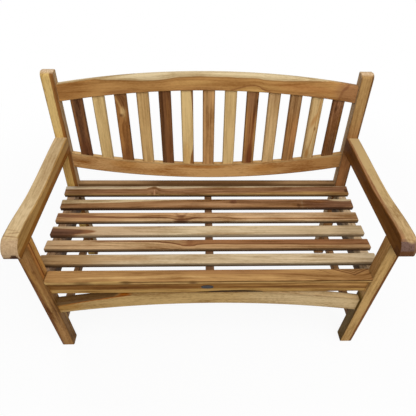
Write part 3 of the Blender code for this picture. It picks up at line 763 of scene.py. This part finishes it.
# The knot, with a pale sweep over it
LOOKS["back_slat_03"] = dict(
    tone=(0.565, 0.385, 0.213), spread=0.9, cloud=2.0, streak=1.6, fleck=1.2,
    flow=[(-150, 0), (0, 2), (60, 14), (130, -16)],
    marks=[
        spot(120, 6, 40, 24, (0.43, 0.28, 0.16), 0.8),
        band([(30, 10), (74, -4), (100, -14), (130, -24)], [(30, 13), (74, 6), (100, -6), (130, -18)],
             (0.66, 0.50, 0.31), soft=7, share=0.6, ends=(48, 150, 12)),
        spot(66, 4, 16, 9, (0.75, 0.62, 0.43), 0.8, soft=1.5),
        spot(44, 6, 14, 5, (0.66, 0.50, 0.31), 0.6, soft=1.3),
        spot(54, -5, 6, 6, (0.34, 0.21, 0.12), 0.8, soft=1.5),
        spot(-125, 5, 45, 30, (0.42, 0.26, 0.14), 0.8),
        band(19, None, (0.40, 0.255, 0.14), soft=4, share=0.7, ends=(-200, 40, 30)),
        spot(-50, 10, 40, 8, (0.43, 0.28, 0.15), 0.4),
    ],
)
LOOKS["back_slat_04"] = dict(tone=(0.71, 0.57, 0.38), spread=0.7)
LOOKS["back_slat_05"] = dict(
    tone=(0.41, 0.265, 0.155), pith=QUARTER, bands=2.8, streak=2.0,
    marks=[
        band(-20, -8, PITCH, soft=8, share=0.35),
        spot(-100, 8, 60, 14, (0.44, 0.27, 0.15), 0.6),
        spot(60, 8, 60, 6, (0.47, 0.31, 0.16), 0.6),
    ],
)
LOOKS["back_slat_06"] = dict(
    tone=(0.77, 0.645, 0.445), spread=0.6,
    marks=[
        spot(-110, -4, 50, 14, (0.74, 0.57, 0.34), 0.6),
        band([(-160, 6), (-125, 10), (-75, 20), (-20, 24)], None, (0.53, 0.36, 0.20), soft=2,
             ends=(-170, -30, 8)),
        band([(40, 21), (90, 19), (160, 13)], None, (0.50, 0.34, 0.19), soft=2, ends=(40, 200, 10)),
        band(22.5, None, (0.46, 0.32, 0.19), soft=1.5, share=0.8),
    ],
)
LOOKS["back_slat_07"] = dict(
    tone=(0.63, 0.465, 0.295), pith=QUARTER, bands=2.4, streak=1.8, cloud=1.8,
    marks=[
        band(12, 20, (0.70, 0.53, 0.34), soft=4, share=0.7, ends=(0, 160, 40)),
        spot(110, -6, 50, 10, (0.56, 0.42, 0.27), 0.6),
    ],
)
LOOKS["back_slat_08"] = dict(tone=(0.755, 0.625, 0.43), spread=0.5)
LOOKS["back_slat_09"] = dict(
    tone=(0.515, 0.345, 0.20), pith=QUARTER, bands=2.6, streak=2.0,
    marks=[
        band(-22, -14, (0.60, 0.44, 0.25), soft=5, share=0.7),
        band([(-160, -6), (-60, 2), (60, 6)], [(-160, 12), (-60, 10), (60, 14)], (0.41, 0.235, 0.12),
             soft=5, share=0.95, ends=(-200, 80, 30)),
        spot(-125, 4, 55, 14, (0.37, 0.20, 0.105), 0.8),
        spot(120, -4, 45, 20, (0.47, 0.325, 0.215), 0.7),
        band([(-150, 14), (60, 16)], None, (0.62, 0.46, 0.27), soft=4, share=0.8, ends=(-200, 50, 40)),
        spot(112, 22, 12, 5, PITCH, 0.8, soft=1.0),
        spot(84, 18, 20, 8, UMBER, 0.5),
    ],
)
LOOKS["back_slat_10"] = dict(
    tone=(0.73, 0.595, 0.42), spread=0.7, lines=0.3,
    marks=[spot(130, 2, 34, 24, (0.66, 0.52, 0.37), 0.6, soft=1.3)],
)
LOOKS["back_slat_11"] = dict(
    tone=(0.56, 0.395, 0.235), pith=RIFT, bands=1.8, streak=1.8, cloud=1.6,
    marks=[
        spot(120, 0, 60, 40, (0.56, 0.425, 0.285), 0.7),
        spot(-30, 8, 60, 12, (0.63, 0.43, 0.26), 0.6),
        band(-12, -2, BROWN, soft=6, share=0.5, ends=(-160, -60, 30)),
    ],
)
LOOKS["back_slat_12"] = dict(
    tone=(0.69, 0.565, 0.39), spread=0.9, lines=0.4,
    marks=[
        band([(-80, -4), (0, 6), (70, 8), (150, 14)], [(-80, 0), (0, 9), (70, 11), (150, 17)],
             (0.58, 0.40, 0.20), share=0.9, ends=(-80, 110, 20)),
        band([(-20, 17), (100, 12)], [(-20, 20), (100, 15)], (0.58, 0.40, 0.20), share=0.8),
        spot(2, 9, 8, 4, (0.48, 0.32, 0.16), 0.8),
        spot(-105, -6, 20, 6, AMBER, 0.9, soft=1.0),
        spot(35, 0, 26, 8, (0.60, 0.41, 0.22), 0.7, slope=0.3),
        spot(60, -16, 90, 4, (0.62, 0.49, 0.32), 0.6),
    ],
)
LOOKS["back_slat_13"] = dict(
    tone=(0.56, 0.395, 0.255), spread=1.1, cloud=2.0, fleck=1.2,
    marks=[
        spot(100, 0, 60, 30, (0.51, 0.355, 0.245), 0.7),
        spot(85, -6, 9, 6, UMBER, 0.8),
        spot(-70, 5, 50, 12, (0.34, 0.21, 0.11), 0.7),
        band(14, None, (0.52, 0.37, 0.17), soft=5, share=0.8, ends=(-60, 60, 30)),
    ],
)
# Painted light and shade: a lighter band on the lit top face over a front face toned dark as if in shade;
# the top band is darker in the middle
LOOKS["rear_seat_rail"] = dict(
    tone=(0.40, 0.30, 0.20),
    marks=[
        band(33, None, (0.535, 0.425, 0.31), soft=2),
        band(33, None, (0.365, 0.255, 0.15), soft=2, ends=(-270, 300, 90), share=0.95),
    ],
)
# The knot left of the middle and a pale rear edge
LOOKS["seat_slat_1"] = dict(
    tone=(0.56, 0.405, 0.27), front=0.95, front_top=0.25, flow=SAP_1, knots=[(-228, -2, 12)],
    bands=2.6, streak=2.0,
    marks=[
        band(None, GOLD_1, (0.625, 0.475, 0.285), soft=5),
        spot(-60, -4, 160, 14, (0.61, 0.455, 0.32), 0.8),
        spot(-430, -2, 150, 16, (0.515, 0.36, 0.235), 0.9),
        spot(565, -2, 40, 14, (0.62, 0.44, 0.29), 0.6),
        spot(480, 6, 200, 9, (0.52, 0.365, 0.27), 0.6),
        spot(-530, -8, 60, 12, BROWN, 0.6),
        band(SAP_1, None, (0.66, 0.57, 0.45), soft=2),
        band(SAP_1, raised(SAP_1, 5), (0.76, 0.67, 0.53), soft=2, share=0.9),
        # Painted highlight: a whitish glint on the rear left corner
        spot(-592, 18, 30, 10, (0.84, 0.79, 0.71), soft=1.0),
        spot(-228, 15, 12, 6, BROWN, soft=1.0),
        spot(-225, -11, 2.5, 16, PINK, soft=0.9),
        spot(-234, -19, 5, 4, UMBER, 0.7),
        spot(-215, -18, 5, 4, UMBER, 0.7),
        spot(590, -4, 8, 10, UMBER, soft=1.0),
    ],
)
LOOKS["seat_slat_2"] = dict(
    tone=(0.59, 0.43, 0.28), front=1.0, front_top=0.5, flow=SAP_2, knots=[(100, 6, 9), (385, 0, 14)],
    bands=2.4, streak=1.8,
    marks=[
        spot(0, -6, 180, 8, (0.66, 0.50, 0.355), 0.8),
        band(None, -21, UMBER, share=0.5),
        band([(-600, 0), (600, 0)], None, (0.54, 0.38, 0.26), soft=8, share=0.6, ends=(80, 700, 40)),
        spot(104, 12, 14, 13, (0.46, 0.29, 0.20), 0.8, soft=1.0),
        spot(500, -4, 110, 26, (0.495, 0.34, 0.245), 0.85, soft=0.7),
        spot(388, -2, 4, 24, (0.58, 0.46, 0.34), 0.8, soft=1.0, bend=0.2),
        spot(372, -14, 7, 10, UMBER, 0.7, soft=1.0),
        spot(455, 8, 34, 6, (0.58, 0.39, 0.22), 0.6),
        spot(540, -8, 40, 4, (0.56, 0.40, 0.28), 0.5),
        spot(555, 19, 50, 9, CREAM, soft=0.7),
        band(SAP_2, None, (0.76, 0.66, 0.50), soft=2, ends=(-700, 60, 30)),
        band(SAP_2, raised(SAP_2, 3), (0.82, 0.72, 0.56), soft=2, share=0.8, ends=(-700, 40, 30)),
    ],
)
LOOKS["seat_slat_3"] = dict(
    tone=(0.735, 0.565, 0.39), front=0.95, front_top=0.5, flow=LINE_3, bands=2.6, streak=2.0,
    marks=[
        band(LINE_3_TOP, None, (0.77, 0.635, 0.48), soft=4, share=0.8, ends=(60, 700, 60)),
        band(None, raised(LINE_3, -4), (0.79, 0.655, 0.49), share=0.85, ends=(-420, 700, 60)),
        spot(-470, 0, 170, 40, (0.68, 0.51, 0.345), 0.8),
        spot(20, 4, 140, 18, (0.78, 0.62, 0.45), 0.9),
        band(raised(LINE_3, -4), LINE_3_TOP, (0.50, 0.335, 0.215), soft=4, ends=(-700, -20, 30)),
        band(raised(LINE_3, -3.5), LINE_3, (0.50, 0.315, 0.17), soft=2.5, ends=(-40, 700, 60)),
        spot(450, 14, 160, 2.5, (0.58, 0.42, 0.27), 0.5, slope=0.01),
        spot(-126, 11, 6, 12, (0.55, 0.37, 0.24), 0.5, lean=-0.7, soft=1.6),
        spot(-92, 12, 6, 11, (0.55, 0.37, 0.24), 0.5, lean=0.8, soft=1.6),
        spot(-110, 3, 17, 6, (0.47, 0.30, 0.19), 0.85, soft=1.5),
        spot(-110, -10, 10, 9, (0.50, 0.32, 0.20), 0.7, soft=1.5),
        spot(-108, -22, 26, 6, (0.45, 0.285, 0.18), 0.85, soft=1.4),
    ],
)
# The dark wedge at the left end, in three bands
LOOKS["seat_slat_4"] = dict(
    # edge: a paler, greyer dark for the painted shade on this slat's front edge
    tone=(0.81, 0.71, 0.56), spread=0.8, front=0.75, front_top=0.35, edge=(0.27, 0.21, 0.15),
    marks=[
        spot(-420, 0, 220, 40, (0.74, 0.61, 0.47), 0.8),
        spot(430, 0, 180, 40, (0.76, 0.65, 0.50), 0.9),
        spot(430, -4, 160, 6, (0.72, 0.62, 0.47), 0.5),
        band([(-600, -27), (-522, -26), (-497, -22), (-471, -18), (-446, -14), (-425, -8)],
             [(-600, 16), (-549, 11), (-497, 8), (-460, 5), (-440, 1), (-425, -5)], (0.60, 0.42, 0.27),
             soft=7, ends=(-700, -430, 9), share=0.85),
        band([(-600, -26), (-522, -24), (-497, -19), (-471, -15), (-446, -11), (-430, -7)],
             [(-600, 12), (-549, 8), (-497, 4.5), (-460, 1), (-430, -4)], (0.49, 0.32, 0.20),
             soft=5, ends=(-700, -438, 9), share=0.9),
        band([(-600, -25), (-522, -22), (-497, -16), (-471, -12)],
             [(-600, 10), (-549, 6), (-497, 2.5), (-460, -1)], (0.38, 0.25, 0.175),
             soft=6, ends=(-700, -478, 14), share=0.95),
        spot(-560, 2, 60, 5, (0.50, 0.34, 0.24), 0.6, slope=-0.05),
        spot(-170, 21, 50, 3, TAN, 0.7, soft=1.0),
    ],
)
# The flame left of the middle
LOOKS["seat_slat_5"] = dict(
    tone=(0.68, 0.525, 0.36), front=0.95, front_top=0.5, flow=LINE_5, bands=2.8, streak=2.0,
    marks=[
        spot(-480, -4, 230, 40, (0.74, 0.60, 0.44), 0.85),
        spot(-300, -4, 130, 12, (0.77, 0.63, 0.46), 0.8),
        band(LINE_5, None, (0.565, 0.385, 0.24), ends=(-100, 700, 40)),
        spot(420, 14, 160, 8, (0.52, 0.34, 0.21), 0.8),
        band(raised(LINE_5, -6), LINE_5, (0.45, 0.275, 0.155), soft=4, ends=(-430, 700, 40)),
        spot(-72, 6, 12, 14, (0.52, 0.34, 0.21), 0.8),
        spot(300, -15, 250, 2.5, (0.58, 0.42, 0.27), 0.5),
    ],
)
LOOKS["seat_slat_6"] = dict(
    tone=(0.79, 0.69, 0.545), spread=0.75, front=0.85, front_top=0.45, fleck=1.0, cloud=0.7, bands=1.4,
    marks=[
        spot(-540, 0, 200, 50, (0.625, 0.485, 0.32), 0.95),
        spot(-300, 2, 110, 12, (0.75, 0.60, 0.43), 0.7),
        spot(420, 0, 200, 50, (0.825, 0.725, 0.58), 0.9),
        spot(200, 8, 260, 2.5, (0.70, 0.59, 0.44), 0.5),
    ],
)
# The nested figure at the right end, and light and dark lines on the front face
LOOKS["front_seat_slat"] = dict(
    tone=(0.65, 0.482, 0.29), ease=0.0, fleck=0.5, streak=1.8,
    flow=[(-550, -6), (-300, 2), (-100, 4), (100, -2), (300, -8), (490, -20), (550, -10)],
    marks=[
        band([(-550, -16), (-100, -12), (0, -14)], [(-550, -12), (-100, -4), (0, -10)],
             (0.75, 0.59, 0.38), soft=6, ends=(-450, 0, 60)),
        spot(220, -12, 180, 4, (0.73, 0.56, 0.35), 0.7, slope=-0.01),
        band([(-60, 20), (100, 8), (250, 1), (350, 0)], [(-60, 26), (100, 12), (250, 5), (350, 3)],
             (0.57, 0.38, 0.22), soft=4, share=0.7, ends=(-60, 330, 40)),
        spot(-250, 14, 160, 3, (0.59, 0.42, 0.25), 0.5, slope=-0.01),
        spot(60, 16, 180, 12, (0.58, 0.41, 0.25), 0.9, slope=-0.02),
        band(V_LINE, raised(V_LINE, 5), (0.42, 0.26, 0.135), ends=(412, 600, 8)),
        band(raised(V_LINE, 4), None, (0.58, 0.42, 0.25), soft=2, share=0.8, ends=(420, 600, 8)),
        band(raised(V_LINE, 10), raised(V_LINE, 13.5), (0.43, 0.27, 0.14), share=0.9,
             ends=(430, 550, 6)),
        band(raised(V_LINE, 19), raised(V_LINE, 22.5), (0.44, 0.285, 0.15), share=0.8,
             ends=(450, 530, 6)),
        spot(385, 14, 30, 1.5, (0.44, 0.28, 0.15), 0.7, slope=-0.45),
        band(None, -23.4, (0.76, 0.60, 0.36), soft=1, depth=(-12, 12, 1)),
        band(None, -23.2, (0.38, 0.24, 0.11), soft=1, depth=(2, 7, 1.5), ends=(-300, 600, 20)),
        band(None, -23.2, (0.58, 0.41, 0.21), soft=1, depth=(-12, -3, 2), ends=(-40, 600, 60), share=0.7),
        spot(-425, -25, 26, 2.2, (0.40, 0.27, 0.13), 0.8, soft=1.7),
        spot(-280, -25, 16, 2.2, (0.38, 0.26, 0.12), 0.8, soft=1.7),
        spot(-60, -25, 14, 2.2, (0.42, 0.28, 0.14), 0.8, soft=1.7),
    ],
)
# The last band is a painted shadow: the dark line of the gap over the middle of the apron
LOOKS["front_seat_rail"] = dict(
    tone=(0.535, 0.38, 0.20), bands=2.6, streak=2.0,
    marks=[
        band([(-550, -10), (-300, -11), (0, -8)], [(-550, 2), (-300, 5), (0, 1)], (0.43, 0.275, 0.115),
             soft=6, share=0.9, ends=(-450, -30, 60)),
        spot(-460, 6, 90, 10, (0.46, 0.31, 0.15), 0.5),
        band(-36, [(-550, -16), (0, -13), (550, -18)], (0.645, 0.51, 0.31), soft=5, share=0.95),
        spot(-150, -24, 130, 5, (0.68, 0.55, 0.36), 0.3),
        band([(20, -4), (200, -10), (400, -16), (550, -16)], [(20, 0), (200, -1), (400, -4), (550, -8)],
             (0.43, 0.285, 0.145), soft=5, ends=(60, 560, 30)),
        spot(430, -12, 150, 10, (0.60, 0.445, 0.26), 0.5),
        spot(400, 6, 180, 6, (0.70, 0.54, 0.34), 0.9, slope=-0.02, soft=1.0),
        spot(150, 4, 90, 4, (0.62, 0.46, 0.26), 0.6),
        band(None, [(-70, -36), (0, -28.5), (90, -24.5), (140, -26), (190, -34)], (0.15, 0.09, 0.02),
             soft=2, ends=(-60, 190, 8)),
    ],
)
LOOKS["front_apron"] = dict(
    tone=(0.70, 0.585, 0.41), spread=0.7, fleck=2.0,
    marks=[
        spot(380, 0, 220, 60, (0.75, 0.66, 0.53), 0.95),
        band(raised(APRON_LINE, 2), None, (0.38, 0.28, 0.165), ends=(-700, -260, 20)),
        band(raised(APRON_LINE, -3), raised(APRON_LINE, 2), (0.59, 0.34, 0.09), soft=2.5,
             ends=(-700, -280, 20)),
        spot(-520, -5, 60, 18, (0.60, 0.44, 0.22), 0.85),
        spot(-400, -18, 120, 5, (0.62, 0.49, 0.30), 0.5),
    ],
    **curved(APRON_RISE, 1, 0.068),
)
# The side rails: the dark band low on the inner side is painted shade
LOOKS["side_rail_left"] = dict(
    tone=(0.67, 0.535, 0.41), cloud=2.0, ease=0.0,
    marks=[band(11.5, None, (0.30, 0.20, 0.11), soft=0.6, depth=(-90, -6, 12), share=0.9)],
)
LOOKS["side_rail_right"] = dict(
    tone=(0.79, 0.675, 0.53), spread=0.9, cloud=1.6, ease=0.0,
    marks=[band(None, -11.5, (0.30, 0.20, 0.11), soft=0.6, depth=(-90, -6, 12), share=0.9)],
)
LOOKS["centre_bearer"] = dict(tone=(0.45, 0.32, 0.22))
LOOKS["side_stretcher_left"] = dict(tone=(0.54, 0.39, 0.25))
LOOKS["side_stretcher_right"] = dict(tone=(0.54, 0.39, 0.25))


def dress_boards():
    for seed, (name, look) in enumerate(sorted(LOOKS.items()), 1):
        kind = max((k for k in KINDS if name.startswith(k)), key=len)
        along, face, refine, gain = KINDS[kind]
        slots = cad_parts[name].data.materials
        slots.clear()
        slots.append(teak(name, seed, board_axes(name, along, face, refine), gain, look))


# Plate

def plate_material():
    material, tree, shader = new_material("dark_plate")
    point = Field(tree, tree.nodes.new("ShaderNodeTexCoord").outputs["Object"])
    brushed = noise(tree, point, PLATE_BRUSHED)
    dull = noise(tree, point, PLATE_DULL)
    share = (brushed * 1.5 + dull * 1.8 + 0.5).clamped()
    tones = mixed(tree, share, colour(PLATE_DARK), colour(PLATE_LIGHT))
    tree.links.new(tones.socket, shader.inputs["Base Color"])
    tree.links.new((share * 0.2 + 0.38).socket, shader.inputs["Roughness"])
    shader.inputs["Metallic"].default_value = 0.6
    add_bump(tree, shader, brushed, *PLATE_BUMP)
    return material


def plate_ring(bm, share, out, face):
    """One oval of points, share of the full size, and out of the rail's face by so many thicknesses."""
    inset = (1.0 - share) * PLATE_HALF_HEIGHT
    ring = []
    for i in range(PLATE_STEPS):
        angle = 2 * math.pi * i / PLATE_STEPS
        x = PLATE_X + (PLATE_HALF_WIDTH - inset) * math.cos(angle)
        z = PLATE_Z + (PLATE_HALF_HEIGHT - inset) * math.sin(angle)
        ring.append(bm.verts.new((x, face + out * PLATE_THICKNESS, z)))
    return ring


def plate_mesh(face):
    """A thin oval with an eased rim and a shallow sunk field, its back on the rail's face."""
    bm = bmesh.new()
    rings = [plate_ring(bm, share, out, face) for share, out in PLATE_PROFILE]
    bm.faces.new(rings[0])
    for low, high in zip(rings, rings[1:]):
        for i in range(PLATE_STEPS):
            j = (i + 1) % PLATE_STEPS
            bm.faces.new((low[i], low[j], high[j], high[i]))
    bm.faces.new(rings[-1][::-1])
    bmesh.ops.recalc_face_normals(bm, faces=bm.faces[:])
    mesh = bpy.data.meshes.new("oval_plate")
    bm.to_mesh(mesh)
    bm.free()
    mesh.shade_smooth()
    mesh.set_sharp_from_angle(angle=SHARP_EDGE)
    return mesh


def make_plate():
    rail_low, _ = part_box("front_seat_rail")
    mesh = plate_mesh(rail_low.y)
    mesh.materials.append(plate_material())
    plate = bpy.data.objects.new("oval_plate", mesh)
    bpy.context.scene.collection.objects.link(plate)
    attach(plate, "root")


# Floor, light and camera

def floor_material():
    """Pale floor: to the camera it is near white and keeps the bench's soft shadow."""
    material, tree, shader = new_material("pale_floor")
    shader.inputs["Roughness"].default_value = 1.0
    shader.inputs["Specular IOR Level"].default_value = 0.0
    rays = tree.nodes.new("ShaderNodeLightPath").outputs
    seen = Field(tree, rays["Is Camera Ray"]).most(Field(tree, rays["Is Glossy Ray"]))
    tones = mixed(tree, seen, FLOOR_BOUNCE, FLOOR_SEEN)
    tree.links.new(tones.socket, shader.inputs["Base Color"])
    away = tree.nodes.new("ShaderNodeVectorMath")
    away.operation = "LENGTH"
    tree.links.new(tree.nodes.new("ShaderNodeTexCoord").outputs["Object"], away.inputs[0])
    white_share = Field(tree, away.outputs["Value"]).step(GLOW_STARTS, GLOW_ENDS, GLOW_NEAR, 1.0)
    glow = tree.nodes.new("ShaderNodeEmission")
    glow.inputs["Color"].default_value = WHITE
    blend = tree.nodes.new("ShaderNodeMixShader")
    tree.links.new((seen * white_share).socket, blend.inputs[0])
    tree.links.new(shader.outputs[0], blend.inputs[1])
    tree.links.new(glow.outputs[0], blend.inputs[2])
    tree.links.new(blend.outputs[0], tree.nodes["Material Output"].inputs["Surface"])
    return material


def make_floor():
    mesh = bpy.data.meshes.new("floor")
    size = FLOOR_HALF_SIZE
    corners = [(-size, -size, 0), (size, -size, 0), (size, size, 0), (-size, size, 0)]
    mesh.from_pydata(corners, [], [(0, 1, 2, 3)])
    floor = bpy.data.objects.new("floor", mesh)
    bpy.context.scene.collection.objects.link(floor)
    mesh.materials.append(floor_material())


def make_world():
    """Even pale light from all round, and white where the camera sees it."""
    world = bpy.data.worlds.new("studio")
    world.use_nodes = True
    tree = world.node_tree
    back = tree.nodes["Background"]
    seen = Field(tree, tree.nodes.new("ShaderNodeLightPath").outputs["Is Camera Ray"])
    strength = seen * (1.0 - WORLD_LIGHT) + WORLD_LIGHT
    tree.links.new(strength.socket, back.inputs["Strength"])
    back.inputs["Color"].default_value = WHITE
    bpy.context.scene.world = world


def soft_lamp(name, way, size, share):
    """A square soft lamp. share is the part of a full light that it gives a surface facing it."""
    lamp = bpy.data.lights.new(name, "AREA")
    lamp.shape = "SQUARE"
    lamp.size = size
    lamp.energy = share * math.pi**2 * LAMP_DISTANCE**2
    holder = bpy.data.objects.new(name, lamp)
    bpy.context.scene.collection.objects.link(holder)
    way = Vector(way).normalized()
    holder.location = LAMP_AIM + way * LAMP_DISTANCE
    holder.rotation_euler = (-way).to_track_quat("-Z", "Y").to_euler()
    holder.visible_camera = False


def make_camera():
    """The photograph's own camera, fitted to the bench."""
    data = bpy.data.cameras.new("camera")
    data.sensor_width = SENSOR_MM
    data.lens = FOCAL_PX / WIDTH_PX * SENSOR_MM
    data.shift_x = SHIFT_X
    data.shift_y = SHIFT_Y
    camera = bpy.data.objects.new("camera", data)
    bpy.context.scene.collection.objects.link(camera)
    turn = Matrix.Rotation(math.radians(-TURN_RIGHT), 4, "Z")
    turn = turn @ Matrix.Rotation(math.radians(90 - LOOK_DOWN), 4, "X")
    turn = turn @ Matrix.Rotation(math.radians(ROLL), 4, "Z")
    camera.matrix_world = Matrix.Translation(CAMERA_PLACE) @ turn
    bpy.context.scene.camera = camera


dress_boards()
make_plate()
make_floor()
make_world()
for lamp_name, lamp_values in LAMPS.items():
    soft_lamp(lamp_name, *lamp_values)
make_camera()
bpy.context.scene.view_settings.view_transform = "Standard"
